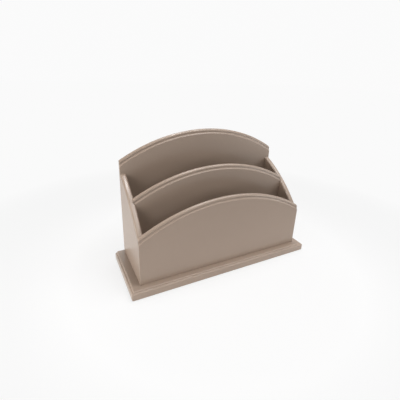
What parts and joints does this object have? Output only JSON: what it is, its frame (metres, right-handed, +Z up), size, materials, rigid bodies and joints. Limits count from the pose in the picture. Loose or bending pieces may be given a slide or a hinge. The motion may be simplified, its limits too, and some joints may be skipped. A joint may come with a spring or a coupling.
{
  "type": "envelope sorter",
  "caption": "Free-standing wooden desk rack: arched front panel, taller arched divider and back panel between sloping sides on a moulded plinth, with slots for envelopes and a notebook.",
  "frame": {"origin": "on the surface that the rack stands on, under the middle of the rack's overall length and depth", "axes": "+X to the right along the length, +Y to the back, +Z up"},
  "size_m": [0.288, 0.101, 0.1947],
  "materials": {
    "painted_board": "satin taupe paint over smooth board",
    "screw_steel": "zinc plated, satin",
    "pin_steel": "bright steel wire",
    "felt": "matt pressed felt"
  },
  "bodies": {
    "root": {"base_plinth": "painted_board", "front_panel": "painted_board", "middle_divider": "painted_board", "back_panel": "painted_board", "left_side": "painted_board", "right_side": "painted_board", "base_screws": "screw_steel", "front_panel_pins": "pin_steel", "back_panel_pins": "pin_steel", "divider_pins": "pin_steel", "felt_pad_front_left": "felt", "felt_pad_front_right": "felt", "felt_pad_back_left": "felt", "felt_pad_back_right": "felt"}
  },
  "joints": []
}
